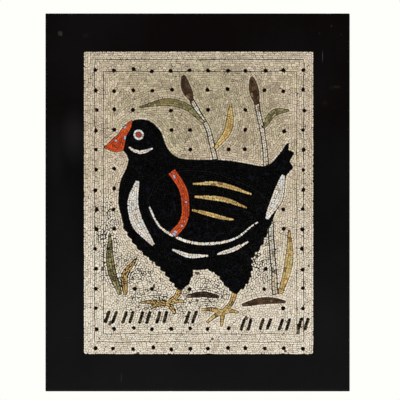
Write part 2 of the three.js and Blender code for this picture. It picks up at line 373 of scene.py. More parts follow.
def courseAlong(loop, inset):
    # one course of seeds: the loop moved inwards wherever it stays that far from itself, in uneven lengths
    ring = np.vstack([loop, loop[:1]])
    reach = np.concatenate([[0], np.cumsum(lengthOf(np.diff(ring, axis=0)))])
    at = np.linspace(0, reach[-1], max(12, int(reach[-1] / laying["fine"])), endpoint=False)
    dense = np.stack([np.interp(at, reach, column) for column in ring.T], axis=1)
    span = max(1, int(inset / laying["fine"] / 2)) if inset < 4 else 4
    tangent = unit(np.roll(dense, -span, axis=0) - np.roll(dense, span, axis=0))
    moved = dense + tangent[:, ::-1] * (-1, 1) * inset
    isFree = ~isNear(moved, np.stack([ring[:-1], ring[1:]], axis=1), inset - laying["slack"])
    stride = np.minimum(lengthOf(moved - np.roll(moved, 1, axis=0)), 2.5 * laying["fine"])
    travelled = np.cumsum(np.where(isFree, stride, 0)) / laying["half"]
    knots = np.arange(int(travelled[-1]) + 3)
    travelled += np.interp(travelled, knots, draw.normal(0, laying["uneven"], len(knots)))
    travelled += draw.uniform(0, 1)
    level = np.maximum.accumulate(np.floor(travelled))
    return moved[isFree & (np.diff(level, prepend=level[0] - 1) > 0)]


def swayOf(points, waves):
    # one swell pushes sideways, the other one upwards
    return np.stack([swell(points, *wave) for wave in waves], axis=1)


def fillGaps(rim, taken, places, clearOfRim):
    # what is still open takes a short tessera wherever one fits
    low, high = sizeOf(rim)
    count = int(np.prod(high - low) / pitch ** 2) * 2 + 900
    for _ in range(3):
        darts = draw.uniform(low, high, (count, 2))
        darts = darts[spread(darts, taken, laying["gapFill"] * pitch)]
        darts = darts[spread(darts, places, dots["clear"])]
        darts = darts[rimDistance(darts, rim)[0] > clearOfRim]
        taken = np.vstack([taken, thinned(darts, laying["gapFill"] * pitch)])
    return taken


def layCourses(loops, rim, rows, insets, taken, places, bend):
    # courses along each loop, where they keep clear of the field's rim and of what is laid already
    first, step = insets
    for row in range(rows):
        inset = first + row * step
        seeds = np.vstack([courseAlong(loop, inset) for loop in loops])
        seeds = seeds + swayOf(seeds, laying["swayWaves"]) * bend * min(1, inset / laying["swayFull"])
        away, _ = rimDistance(seeds, rim)
        seeds = seeds[away > min(0.38 * pitch, first - laying["slack"])]
        if len(seeds) == 0:
            break
        seeds = seeds[spread(seeds, places, dots["clear"])]
        seeds = seeds[spread(seeds, taken, closest)]
        taken = np.vstack([taken, thinned(seeds, closest)])
    return taken


def layField(field, taken, places):
    # courses along the rim inwards: the ground's first ones lie round the picture, the rest along the border
    rim, loops = field["rim"], field["loops"]
    halfWidth = rimDistance(draw.uniform(*sizeOf(rim), (laying["probes"], 2)), rim)[0].max()
    across = max(1, round(2 * halfWidth / pitch))
    isNarrow = across < laying["fewCourses"]
    first = halfWidth * 0.97 / across if isNarrow else pitch / 2 - laying["rimJoint"]
    insets = (first, 2 * first if isNarrow else pitch)
    if field["name"] == "ground_tesserae":
        outer = int(np.argmax([np.ptp(loop, axis=0).sum() for loop in loops]))
        picture = loops[:outer] + loops[outer + 1:]
        taken = layCourses(picture, rim, laying["rowsRoundPicture"], insets, taken, places, 0)
        border = loops[outer:outer + 1]
        taken = layCourses(border, rim, laying["mostRows"], insets, taken, places, laying["sway"])
    else:
        rows = math.ceil(halfWidth / insets[1]) + 1
        taken = layCourses(loops, rim, rows, insets, taken, places, 0)
    return fillGaps(rim, taken, places, min(0.24 * pitch, 0.6 * halfWidth))


def pairsOf(seeds):
    # neighbours along a course make one tessera: runs of close seeds are cut in twos, now and then in ones
    gap = lengthOf(np.diff(seeds, axis=0))
    isBreak = np.concatenate([[True], gap > laying["breakFrom"] * laying["half"]])
    isBreak |= draw.uniform(0, 1, len(seeds)) < laying["shortOnes"]
    here = np.arange(len(seeds))
    runStart = np.maximum.accumulate(np.where(isBreak, here, 0))
    return np.cumsum((here - runStart) % 2 == 0) - 1


def cellsOf(seeds, tesseraOf, fence):
    # Voronoi cells, the cells of one tessera's seeds merged: corners are the centres of the circles through
    # the triangles between the seeds
    everyone = np.vstack([seeds, fence])
    found = delaunay_2d_cdt([Vector(spot) for spot in everyone.tolist()], [], [], 0, 1e-6)
    triangles = np.array(found[2], np.int64)
    a, b, c = everyone[triangles].transpose(1, 0, 2)
    ab, ac = b - a, c - a
    squareB, squareC = ((side ** 2).sum(axis=1, keepdims=True) for side in (ab, ac))
    offset = (ac * squareB - ab * squareC)[:, ::-1] * (1, -1)
    centres = a + offset / (2 * cross(ab, ac))[:, None]
    tesseraOf = partedPairs(triangles, centres, tesseraOf, len(everyone))
    middles = meanOf(seeds, tesseraOf)
    known = np.concatenate([tesseraOf, np.full(len(fence), -1)])[triangles]
    isOurs = known >= 0
    isOurs[:, 1] &= known[:, 1] != known[:, 0]
    isOurs[:, 2] &= (known[:, 2] != known[:, 0]) & (known[:, 2] != known[:, 1])
    owner = known[isOurs]
    corners = np.repeat(centres[:, None, :], 3, axis=1)[isOurs]
    arm = corners - middles[owner]
    order = np.lexsort((np.arctan2(arm[:, 1], arm[:, 0]), owner))
    return tesseraOf, middles, owner[order], corners[order]


def meanOf(values, group):
    # the mean of each group's values
    count = np.maximum(np.bincount(group), 1)
    return np.stack([np.bincount(group, weights=column) / count for column in values.T], axis=1)


def partedPairs(triangles, centres, tesseraOf, total):
    # two seeds stay one tessera only where their cells share a side of fair length
    edges = np.sort(edgesOf(triangles), axis=1)
    key = edges[:, 0] * total + edges[:, 1]
    order = np.argsort(key, kind="stable")
    key, centre = key[order], np.tile(centres, (3, 1))[order]
    isTwin = np.flatnonzero(key[1:] == key[:-1])
    shared = dict(zip(key[isTwin].tolist(), lengthOf(centre[isTwin + 1] - centre[isTwin]).tolist()))
    second = np.flatnonzero(tesseraOf[1:] == tesseraOf[:-1]) + 1
    lengths = np.array([shared.get(int(seed - 1) * total + int(seed), 0.0) for seed in second])
    isNew = np.concatenate([[True], tesseraOf[1:] != tesseraOf[:-1]])
    isNew[second[lengths < laying["leastSide"] * pitch]] = True
    return np.cumsum(isNew) - 1


def neighbours(owner):
    # for corners sorted by cell: the index of the next and the previous corner of the same cell
    count = np.bincount(owner, minlength=owner.max() + 1)[owner]
    first = np.searchsorted(owner, owner)
    here = np.arange(len(owner)) - first
    return first + (here + 1) % count, first + (here - 1) % count


def withoutShortEdges(owner, corners, shortest):
    # drops a corner that lies next to the following one, but leaves every cell three corners
    after, _ = neighbours(owner)
    isShort = lengthOf(corners[after] - corners) < shortest
    left = np.bincount(owner, weights=~isShort, minlength=owner.max() + 1)[owner]
    keep = ~isShort | (left < 3)
    return owner[keep], corners[keep]


def insetCorners(owner, corners, distance):
    # every edge moves inwards by the distance: a corner moves along the mean of its two edges' normals
    after, before = neighbours(owner)
    ahead, behind = unit(corners[after] - corners), unit(corners - corners[before])
    turn = 1 + (ahead * behind).sum(axis=1)
    inwards = (ahead + behind)[:, ::-1] * (-1, 1) / np.maximum(turn, 0.5)[:, None]
    return corners + inwards * distance[:, None]


def makeMesh(name, points, loops, sizes, attributes={}, uv=None, sharpAngle=0):
    # a mesh object out of whole arrays: points in metres, the faces' corners in one row, corners per face
    mesh = bpy.data.meshes.new(name)
    mesh.vertices.add(len(points))
    mesh.vertices.foreach_set("co", np.ascontiguousarray(points, np.float32).ravel())
    mesh.loops.add(len(loops))
    mesh.loops.foreach_set("vertex_index", loops.astype(np.int32))
    mesh.polygons.add(len(sizes))
    mesh.polygons.foreach_set("loop_start", (np.cumsum(sizes) - sizes).astype(np.int32))
    mesh.polygons.foreach_set("loop_total", sizes.astype(np.int32))
    for key, values in attributes.items():
        mesh.attributes.new(key, "FLOAT", "POINT").data.foreach_set("value", values.astype(np.float32))
    if uv is not None:
        mesh.uv_layers.new(name="OFBake").data.foreach_set("uv", uv.astype(np.float32).ravel())
    mesh.update(calc_edges=True)
    mesh.validate()
    mesh.set_sharp_from_angle(angle=math.radians(sharpAngle))
    return addObject(name, mesh)


def inSpace(flat, depth):
    # flat places and depths behind the face, in millimetres, as points in metres
    return np.stack([flat[:, 0] * metre, faceY + depth * metre, flat[:, 1] * metre], axis=1)


def facesOf(quads, *caps):
    # the corners of quads and of larger faces in one row, and how many each has
    sizes = np.concatenate([np.full(len(quads), 4), [len(cap) for cap in caps]])
    return np.concatenate([quads.ravel(), *caps]), sizes


def bandsOf(rings):
    # quads between each ring of point numbers and the next one
    after = np.roll(rings, -1, axis=1)
    return np.stack([rings[:-1], rings[1:], after[1:], after[:-1]], axis=2).reshape(-1, 4)


# The tesserae's own shape

prism = {
    "depth": 2.4,
    "arris": 0.07,  # the worn edge round the ground top
    "arrisDrop": 0.06,
    "taper": 0.9,  # size at the foot, as a share of the size at the top
    "sunkLeast": 0.01,
    "sunkMost": 0.09,
    "tilt": 0.035,  # millimetres of rise per millimetre
}


def tesseraeMesh(name, seeds, owner, corners, tones):
    # each cell becomes a short prism: its ground top, a worn edge round it, sides that taper, and a foot
    after, _ = neighbours(owner)
    top = insetCorners(owner, corners, np.full(len(corners), prism["arris"]))
    foot = seeds[owner] + (corners - seeds[owner]) * prism["taper"]
    sunk = draw.uniform(prism["sunkLeast"], prism["sunkMost"], len(seeds))
    slope = draw.normal(0, prism["tilt"], (len(seeds), 2))
    rise = ((top - seeds[owner]) * slope[owner]).sum(axis=1)
    topY = np.maximum(sunk[owner] + rise, 0)
    points = np.vstack([inSpace(top, topY), inSpace(corners, topY + prism["arrisDrop"]),
                        inSpace(foot, np.full(len(corners), prism["depth"]))])
    count = len(corners)
    here = np.arange(count)
    sizes = np.bincount(owner)
    sizes = sizes[sizes > 0]
    worn = np.stack([here + count, after + count, after, here], axis=1)
    loops = np.concatenate([here, worn.ravel(), worn.ravel() + count, (here + 2 * count)[::-1]])
    faceSizes = np.concatenate([sizes, np.full(2 * count, 4), sizes[::-1]])
    flatUv, centreUv = ((flat - inlayLow) / (inlayHigh - inlayLow) for flat in (top, seeds[owner]))
    quadUv = np.stack([flatUv, flatUv[after], flatUv[after], flatUv], axis=1).reshape(-1, 2)
    uv = np.vstack([flatUv, quadUv, quadUv, centreUv[::-1]])
    attributes = {key: np.tile(values[owner], 3) for key, values in tones.items()}
    # painted shade mask: 0 on the ground top, 0.55 on the worn edge, 1 down the sides and foot into the
    # joints
    attributes["grime"] = np.repeat([0.0, 0.55, 1.0], count)
    return makeMesh(name, points, loops, faceSizes, attributes, uv)


def boxOf(node):
    # the lowest and highest X and Z of a solid, in millimetres
    return [np.array([corner.x, corner.z]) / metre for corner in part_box(node)]


inlayLow, inlayHigh = boxOf("border_outer_courses")
slotOf = {part["node"]: part["material_slot"] for part in frame["record"]["subparts"]}
creamSlots = ("cream_ground", "cream_border")

dots = {
    "counts": (12, 15),  # columns and rows
    "fromLow": (7.5, 3.7),  # millimetres from the inlay's left and lower edge to the outermost dots
    "fromHigh": (6.7, 11.8),
    "wander": 0.28,
    "ringRadius": 2.36,  # the first tesserae round a dot
    "inRing": 6,
    "clear": 1.92,
    "clearOfPicture": 2.9,
}


def readFields():
    # every solid of the picture with its slot, its rim as edges, and its rim as loops
    fields = []
    for name in sorted(set(slotOf) - {"marble_surround", "mastic_bed"}):
        spots, edges = frontEdges(name)
        fields.append({"name": name, "slot": slotOf[name], "isStroke": name.startswith("stroke"),
                       "rim": spots[edges], "loops": loopsOf(spots, edges)})
    return fields


def rimOf(fields, slots, withStrokes=False):
    # the rims of all the fields of some materials in one list
    return np.vstack([field["rim"] for field in fields
                      if field["slot"] in slots or withStrokes and field["isStroke"]])


def dotPlaces(fields):
    # a hand-laid grid of single dark tesserae, left out wherever the picture is
    places = gridOf(inlayLow + dots["fromLow"], inlayHigh - dots["fromHigh"], dots["counts"])
    places += draw.normal(0, dots["wander"], places.shape)
    places += draw.normal(0, dots["wander"], places[:1].shape) * (1, 0)
    places = places.reshape(-1, 2)
    away, _ = rimDistance(places, rimOf(fields, set(slotOf.values()) - set(creamSlots)))
    return places[away < -dots["clearOfPicture"]]


def ringsRound(places):
    # a few tesserae at uneven angles round each dot
    apart = 2 * math.pi / dots["inRing"]
    turn = np.arange(dots["inRing"]) * apart + draw.uniform(0, apart, (len(places), 1))
    turn = turn + draw.uniform(-0.2, 0.2, turn.shape)
    ring = np.stack([np.cos(turn), np.sin(turn)], axis=2) * dots["ringRadius"]
    return (places[:, None, :] + ring).reshape(-1, 2)


def layTesserae(fields, places):
    # seeds of all the fields, the field that each one belongs to, and the tessera that it is a part of
    rings = ringsRound(places)
    allSeeds, allFields, allPairs = [places], [np.full(len(places), -1)], [np.arange(len(places))]
    for number, field in enumerate(fields):
        rim = field["rim"]
        dotsHere = taken = places[:0]
        if field["slot"] in creamSlots:
            dotsHere = places
            taken = thinned(rings[rimDistance(rings, rim)[0] > 0.3], closest)
        seeds = layField(field, taken, dotsHere)
        pairs = np.arange(len(seeds)) if field["isStroke"] else pairsOf(seeds)
        strayed = seeds + np.clip(draw.normal(0, laying["wander"] * pitch, seeds.shape), -0.3, 0.3)
        seeds = np.where((rimDistance(strayed, rim)[0] > 0.3)[:, None], strayed, seeds)
        allSeeds.append(seeds)
        allFields.append(np.full(len(seeds), number))
        allPairs.append(pairs + allPairs[-1][-1] + 1)
    return np.vstack(allSeeds), np.concatenate(allFields), np.concatenate(allPairs)


def fenceRound():
    # a row of seeds outside the inlay mirrors its outermost course, so that the edge comes out straight
    out = pitch / 2 - laying["rimJoint"]
    x, z = (np.arange(start - pitch / 2, end + pitch, pitch) for start, end in zip(inlayLow, inlayHigh))
    (left, bottom), (right, top) = inlayLow - out, inlayHigh + out
    sides = (x, bottom), (x, top), (left, z), (right, z)
    return np.vstack([np.stack(np.broadcast_arrays(*side), axis=1) for side in sides])


def keepInFields(fields, fieldOf, middles, owner, corners):
    # corners that stray over their field's rim come back to just outside it, inside the joint
    for number, field in enumerate(fields):
        mine = np.flatnonzero(fieldOf[owner] == number)
        away, normals = rimDistance(corners[mine], field["rim"])
        corners[mine] += normals * np.clip(-laying["overlap"] - away, 0, 1.2)[:, None]
    arm = corners - middles[owner]
    limit = 1.5 * pitch / np.maximum(lengthOf(arm), 1e-6)
    return middles[owner] + arm * np.minimum(1, limit)[:, None]


def swell(points, size, phase):
    # a smooth pattern of broad lumps from -1 to 1: the mean of three crossed waves
    x, z = points[:, 0] / size, points[:, 1] / size
    waves = (np.sin(x * 1.9 + 1.3 * np.sin(z * 1.1 + phase)),
             np.sin(z * 2.3 + 1.7 * np.sin(x * 0.9 - phase)), np.sin((x + z) * 1.4 + phase * 2))
    return sum(waves) / 3


# The pieces of tesserae, one for each material

surface = {
    "joint": 0.045,  # half the width of a joint at its narrowest, in millimetres
    "jointVaries": 0.09,
    "chipped": 0.12,  # share of the corners that are knocked off, down to a dark hole
    "chip": 0.24,
    "onLine": 0.3,  # corners this near to a line belong to it
    "lineJoint": 0.11,  # the joints between the border's bands and the ground are wider, with breaks
    "unevenRim": 0.22,  # how far the inlay's edge wanders inwards
    "wander": 0.3,  # how far everything sways to both sides
    "wanderWaves": ((5.5, 0.3), (6.5, 1.7)),
    "openJoint": 0.37,  # the joints gape where the bed is poor
    "strokeJoint": 0.07,
    "reedLine": 0.13,  # a dark line down both sides of the reeds
    "shortest": (0.22, 0.18),  # edges below this go, before and after corners come back to their fields
    "smallestCell": 0.15,  # square millimetres
    "trianglesEach": 52,
    "mostTriangles": 165_000,
}

poorBed = {  # where the joints gape and dark stone is mixed in: under the bird and round its feet
    "ovals": ((-44, -44, 16, 9), (-22, -62, 20, 8), (6, -57, 12, 9), (38, -36, 9, 14), (-56, -20, 7, 18)),
    "strength": 1.5,
}


def bellOf(points, across, up, halfWidth, halfHeight, power=2):
    # a soft oval: exp(-x ** power - z ** power) after scaling by its size
    x, z = (points - (across, up)).T
    return np.exp(-(x / halfWidth) ** power - (z / halfHeight) ** power)


def poorlyLaid(points):
    # the strongest of the ovals at each point, broken up in lumps
    share = np.max([bellOf(points, *oval) for oval in poorBed["ovals"]], axis=0)
    return np.clip(share * poorBed["strength"] * (0.75 + 0.5 * swell(points, 4.5, 0.7)), 0, 1)


def jointsOf(fields, fieldOfCorner, corners):
    # half the joint's width at each corner, in millimetres
    size, chance = draw.uniform(0, 1, (2, len(corners)))
    poor = poorlyLaid(corners)
    half = surface["joint"] + surface["jointVaries"] * size ** 2
    half += (chance < surface["chipped"] * (1 + 2 * poor)) * surface["chip"] * size
    half += surface["openJoint"] * poor * size ** 2
    isTop = np.clip((corners[:, 1] - 60) / 15, 0, 1)
    broken = np.clip(0.35 * isTop - 0.5 + 1.6 * swell(corners, 6.0, 2.2) + 0.6 * size, 0, 1)
    for name in ("border_outer_courses", "border_inner_courses"):
        loops = next(field["loops"] for field in fields if field["name"] == name)
        inner = min(loops, key=lambda loop: np.ptp(loop, axis=0).sum())
        line = np.stack([inner, np.roll(inner, -1, axis=0)], axis=1)
        half += surface["lineJoint"] * isNear(corners, line, surface["onLine"]) * broken
    half += surface["reedLine"] * isNear(corners, rimOf(fields, ("pale_reed",)), surface["onLine"])
    isStroke = np.array([field["isStroke"] for field in fields] + [False])
    return half + surface["strokeJoint"] * isStroke[fieldOfCorner]


def wander(points):
    # a slow sway of the courses to both sides; the inlay's edge only comes in, most of all at its corners
    fromLow, fromHigh = points - inlayLow, inlayHigh - points
    toRim = np.minimum(fromLow, fromHigh)
    away = np.clip((toRim.min(axis=1) - 0.6) / 3, 0, 1)
    press = np.clip(0.15 + 0.9 * swell(points, 5.0, 0.4), 0, 1) + 2 * np.exp(-lengthOf(toRim) / 0.9)
    inwards = np.sign(fromHigh - fromLow) * np.clip(1 - toRim / 1.2, 0, 1)
    return (points + swayOf(points, surface["wanderWaves"]) * surface["wander"] * away[:, None]
            + inwards * press[:, None] * surface["unevenRim"])


def cellAreas(owner, corners):
    # the shoelace rule
    after, _ = neighbours(owner)
    return np.bincount(owner, weights=cross(corners, corners[after]) / 2, minlength=owner.max() + 1)


cast = {  # how the ground's colour drifts from place to place
    "spread": 0.3,  # how far single tesserae lie from the middle tone
    "greenAt": (2, 58, 52, 34),  # middle and half size of the greener ground over the bird's back
    # painted light: the ground grows paler downwards, as more light falls on its lower part
    "lowerWhite": 0.68,  # the ground grows paler downwards
    "sideWhite": 0.5,  # and towards both sides
    "leftWhite": 0.2,
    "topWhite": 0.2,
    "poorWhite": 0.3,
    "outlineWhite": 0.75,  # the whiter course that follows the picture
}


def tonesOf(middles, odds, bird):
    # for each tessera: its place between its two colours, oddness, green or rosy tint, and whiteness,
    # which marks the dots among the dark ones
    count, poor = len(middles), poorlyLaid(middles)
    tone = np.clip(draw.normal(0.5, cast["spread"], count) + 0.22 * swell(middles, 9, 0.2), 0, 1)
    odd = (draw.uniform(0, 1, count) < odds + 0.012 * poor).astype(float)
    x, z = middles.T
    shade = bellOf(middles, *cast["greenAt"], power=4)
    shift = np.clip(shade * (1.0 + 0.2 * swell(middles, 12, 1.9)), 0, 1)
    tint = np.clip(draw.normal(0.5, 0.25, count) + 0.25 * swell(middles, 14, 3.1), 0, 1)
    follows = (rimDistance(middles, bird)[0] > -0.75 * pitch) * (swell(middles, 13, 0.9) > -0.3)
    outline = follows * draw.uniform(0, cast["outlineWhite"], count)
    # painted light: paler downwards where more light falls, with a random share for each tessera; the other
    # terms make it paler towards the sides, the top, a spot on the left and the poorly laid places
    paler = np.clip((28 - z) / 105, 0, 1) * cast["lowerWhite"]
    paler += np.clip(np.abs(x) / 72 - 0.75, 0, 1) * cast["sideWhite"]
    paler += bellOf(middles, -66, -32, 20, 36) * cast["leftWhite"]
    paler += np.clip((z - 78) / 14, 0, 1) * cast["topWhite"] + poor * cast["poorWhite"]
    white = np.maximum(outline, np.clip(paler * draw.uniform(0.4, 1.6, count), 0, 1))
    return {"tone": tone, "odd": odd, "shift": shift, "tint": tint, "white": white}


def tesseraePieces(fields, seeds, fieldOf, tesseraOf):
    # cells, joints, tones, then one piece for each material, or more where a piece would grow too heavy
    tesseraOf, middles, owner, corners = cellsOf(seeds, tesseraOf, fenceRound())
    fieldOfCell = np.rint(meanOf(fieldOf[:, None].astype(float), tesseraOf)[:, 0]).astype(int)
    owner, corners = withoutShortEdges(owner, corners, surface["shortest"][0])
    corners = keepInFields(fields, fieldOfCell, middles, owner, corners)
    owner, corners = withoutShortEdges(owner, corners, surface["shortest"][1])
    corners = insetCorners(owner, corners, jointsOf(fields, fieldOfCell[owner], corners))
    corners, middles = wander(corners), wander(middles)
    areas = cellAreas(owner, corners)
    print(len(areas), "tesserae,", round(len(owner) / len(areas), 2), "corners each")
    slotOfCell = np.array([field["slot"] for field in fields] + ["black_smalto"])[fieldOfCell]
    bird = next(field["rim"] for field in fields if field["name"] == "bird_body")
    for slot in np.unique(slotOfCell).tolist():
        mine = np.flatnonzero((slotOfCell == slot) & (areas > surface["smallestCell"]))
        nodes = [field["name"] for field in fields if field["slot"] == slot]
        parts = math.ceil(len(mine) * surface["trianglesEach"] / surface["mostTriangles"])
        *colours, odds, rough = smalti[slot]
        material = tesseraMaterial(slot, colours, rough)
        bands = np.array_split(mine[np.argsort(middles[mine, 1], kind="stable")], parts)
        for part, chosen in enumerate(map(np.sort, bands)):
            renumber = np.full(len(middles), -1)
            renumber[chosen] = np.arange(len(chosen))
            isOurs = renumber[owner] >= 0
            name = slot + ("" if parts == 1 else f"_{part + 1}")
            tones = tonesOf(middles[chosen], odds, bird)
            if slot not in creamSlots:
                tones["white"] = (fieldOfCell[chosen] < 0).astype(float)
            piece = tesseraeMesh(name, middles[chosen], renumber[owner[isOurs]], corners[isOurs], tones)
            finishPiece(piece, material, nodes)


smalti = {  # linear colours: the two that the tesserae lie between, an odd one; share of odd ones; roughness
    "cream_ground": ((0.81, 0.69, 0.54), (0.45, 0.365, 0.265), (0.05, 0.032, 0.02), 0.0015, 0.42),
    "cream_border": ((0.81, 0.69, 0.54), (0.45, 0.365, 0.265), (0.08, 0.055, 0.035), 0.0015, 0.42),
    "white_marble": ((0.88, 0.84, 0.75), (0.62, 0.56, 0.45), (0.42, 0.34, 0.23), 0.03, 0.38),
    "pale_reed": ((0.74, 0.68, 0.55), (0.48, 0.41, 0.29), (0.22, 0.16, 0.09), 0.04, 0.4),
    "black_smalto": ((0.0019, 0.0018, 0.002), (0.0001, 0.0001, 0.0001), (0.004, 0.0046, 0.01), 0.05, 0.32),
    "orange_smalto": ((0.7, 0.088, 0.006), (0.38, 0.036, 0.004), (0.42, 0.4, 0.52), 0.045, 0.28),
    "ochre_smalto": ((0.72, 0.53, 0.2), (0.4, 0.24, 0.065), (0.2, 0.1, 0.03), 0.03, 0.32),
    "olive_smalto": ((0.3, 0.26, 0.1), (0.11, 0.09, 0.035), (0.42, 0.35, 0.17), 0.05, 0.32),
    "brown_smalto": ((0.12, 0.068, 0.036), (0.035, 0.02, 0.012), (0.24, 0.16, 0.09), 0.06, 0.34),
    "red_smalto": ((0.5, 0.05, 0.03), (0.28, 0.024, 0.018), (0.56, 0.18, 0.14), 0.0, 0.28),
}

glaze = {
    "green": (0.76, 0.78, 0.71),  # the cast of the ground above the bird's back
    "yellowish": (0.99, 1.0, 0.88),
    "rosy": (1.0, 0.94, 0.97),
    "brownish": (1.12, 0.98, 0.88),  # the same for the coloured glass
    "bluish": (0.9, 1.0, 1.18),
    "outline": (0.92, 0.85, 0.73),
    "dot": (0.006, 0.0018, 0.0003),
    # painted shade: the colour the tesserae's sides darken to down in the joints
    "grime": (0.03, 0.019, 0.011),
    "shine": 0.4,  # specular level
    "glassShine": 0.02,  # the same of the dark glass
}


def tesseraMaterial(slot, colours, rough):
    # colour = the two colours mixed by each tessera's own tone, tints, a cloudy grain, and painted shade
    # down its sides into the joints
    light, dark, oddOne = colours
    material, wire = startMaterial(slot)
    tone, odd, shift, tint, white, grime = (attribute(wire, key) for key in
                                            ("tone", "odd", "shift", "tint", "white", "grime"))
    colour = tone.blend(dark, light)
    if slot in creamSlots:
        colour = colour.times(tint.blend(glaze["rosy"], glaze["yellowish"]))
        colour = colour.times(shift.blend((1, 1, 1), glaze["green"]))
        colour = (white * 0.8).blend(colour, glaze["outline"])
    else:
        colour = white.blend(colour.times(tint.blend(glaze["brownish"], glaze["bluish"])), glaze["dot"])
        odd = odd * (1 - white)
    colour = odd.blend(colour, oddOne)
    cloud = grain(wire, 0.35, detail=3)
    speck = grain(wire, 0.1, detail=1).over(0.62, 0.75)
    colour = (cloud.over(0.35, 0.8) * 0.22 + speck * 0.15).blend(colour, tuple(part * 0.6 for part in dark))
    # painted shade: the worn edge and the sides grow darker down into the joints; the same mask makes the
    # sides rougher
    colour = (grime * 0.8).blend(colour, tuple(map(min, glaze["grime"], dark)))
    shine = glaze["glassShine"] if max(light) < 0.2 else glaze["shine"]
    height = cloud + grain(wire, 0.12, detail=2, stretch=(1, 1, 0.25)) * 0.5
    dress(wire, colour, cloud * 0.18 + grime * 0.3 + (rough - 0.08), shine, (0.25, 0.00003, height))
    return material


# The mastic that the tesserae stand in

mastic = {
    "below": 0.14,  # millimetres from the face down to the mastic in the joints
    "uneven": 0.1,
    "grid": 0.56,
    "deep": (0.0024, 0.0017, 0.0012),
    "dusty": (0.21, 0.155, 0.095),
}


def masticBed(fields):
    # a block whose front is a fine uneven sheet: height = broad swells plus fine roughness
    low, high = inlayLow, inlayHigh
    columns, rows = np.ceil((high - low) / mastic["grid"]).astype(int)
    flat = gridOf(low, high, (columns, rows)).reshape(-1, 2)
    depth = mastic["below"] + mastic["uneven"] * (0.5 + 0.5 * swell(flat, 2.2, 1.0))
    depth += draw.uniform(0, 0.03, len(flat))
    depth += 0.25 * poorlyLaid(flat)
    front = inSpace(flat, depth)
    index = np.arange(columns * rows).reshape(rows, columns)
    quads = np.stack([index[:-1, :-1], index[:-1, 1:], index[1:, 1:], index[1:, :-1]], axis=2).reshape(-1, 4)
    rim = np.concatenate([index[0, :-1], index[:-1, -1], index[-1, :0:-1], index[:0:-1, 0]])
    back = front[rim] * (1, 0, 1) + (0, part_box("mastic_bed")[1].y, 0)
    here = columns * rows + np.arange(len(rim))
    loops, sizes = facesOf(np.vstack([quads, bandsOf(np.stack([rim, here]))]), here[::-1])
    points = np.vstack([front, back])
    uv = (points[:, [0, 2]] / metre - low) / (high - low)
    pale = insideRim(flat, rimOf(fields, creamSlots, withStrokes=True)) * (1 - 0.7 * poorlyLaid(flat))
    pale = pale * ~isNear(flat, rimOf(fields, ("pale_reed",)), 0.4)
    pale = pale * (np.minimum(flat - low, high - flat).min(axis=1) > 0.7)
    pale = {"pale": np.concatenate([pale, np.zeros(len(rim))])}
    piece = makeMesh("masticBed", points, loops, sizes, pale, uv[loops], sharpAngle=60)
    material, wire = startMaterial("mastic")
    dust = grain(wire, 1.5, detail=3).over(0.38, 0.62)
    lumps = grain(wire, 0.4, detail=3)
    colour = (dust * attribute(wire, "pale") * (lumps * 0.5 + 0.6)).blend(mastic["deep"], mastic["dusty"])
    dress(wire, colour, lumps * 0.2 + 0.7, 0.2, (0.6, 0.00005, lumps))
    finishPiece(piece, material, ["mastic_bed"])


def finishPiece(piece, material, nodes):
    piece.data.materials.append(material)
    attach(piece, "root")
    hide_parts(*nodes)


# The slab

slab = {
    "gap": 0.3,  # millimetres round the inlay
    "arris": 0.6,  # radius of the worn outer edges
    "innerArris": 0.12,
    "step": 1.1,  # distance between two points along an edge
    "faceRings": 18,
    "sideRings": 8,
    "backRings": 12,
    "arrisSteps": 6,
    "chips": 16,  # small chips in the outer edges
    "chipSize": 0.34,
    "cornerRadius": 0.5,
}


def roundedRectangle(low, high, radius, counts):
    # anticlockwise seen from the front: an arc round each corner, then the side to the next one
    along, up, turn = counts
    outwards = np.array([(1, -1), (1, 1), (-1, 1), (-1, -1)])
    centres = np.where(outwards > 0, high - radius, low + radius)
    points = []
    for number, centre in enumerate(centres):
        start, end = (number - 1) * math.pi / 2, number * math.pi / 2
        angle = start + np.linspace(0, math.pi / 2, turn, endpoint=False)
        lift = radius * np.array([math.cos(end), math.sin(end)])
        share = np.linspace(0, 1, up if number % 2 == 0 else along, endpoint=False)[:, None]
        points += [centre + radius * np.stack([np.cos(angle), np.sin(angle)], axis=1),
                   centre + (centres[(number + 1) % 4] - centre) * share + lift]
    return np.vstack(points)


def between(first, last, shares):
    # rings that lie a share of the way from the first one to the last one
    return [[start + (end - start) * share for start, end in zip(first, last)] for share in shares]


def slabRings():
    # two corners, rounding and depth of each ring, from the recess over the face and the side to the back
    low, high = boxOf("marble_surround")
    inLow, inHigh = inlayLow - slab["gap"], inlayHigh + slab["gap"]
    thickness = (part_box("marble_surround")[1].y - faceY) / metre
    recess = (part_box("mastic_bed")[1].y - faceY) / metre + slab["gap"]
    radius, small, corner = slab["arris"], slab["innerArris"], slab["cornerRadius"]
    turns = np.linspace(0, math.pi / 2, slab["arrisSteps"])
    bends = radius * (1 - np.sin(turns)), radius * (1 - np.cos(turns))
    faceShares, sideShares = (np.linspace(0, 1, slab[key])[1:-1] for key in ("faceRings", "sideRings"))
    backShares = np.linspace(0, 0.9, slab["backRings"])[1:]
    outLow, outHigh, middle = low + radius, high - radius, (low + high) / 2
    return [(inLow, inHigh, 0.2, recess), (inLow, inHigh, 0.2, small),
            (inLow - small, inHigh + small, 0.3, 0.0),
            *between((inLow, inHigh, 0.3, 0.0), (outLow, outHigh, 0.5, 0.0), faceShares),
            *((low + inset, high - inset, corner, depth) for inset, depth in zip(*bends)),
            *between((low, high, corner, radius), (low, high, corner, thickness - radius), sideShares),
            *((low + inset, high - inset, corner, thickness - rest) for rest, inset in zip(*bends)),
            *between((outLow, outHigh, 0.4, thickness), (middle, middle, 0.4, thickness), backShares)]


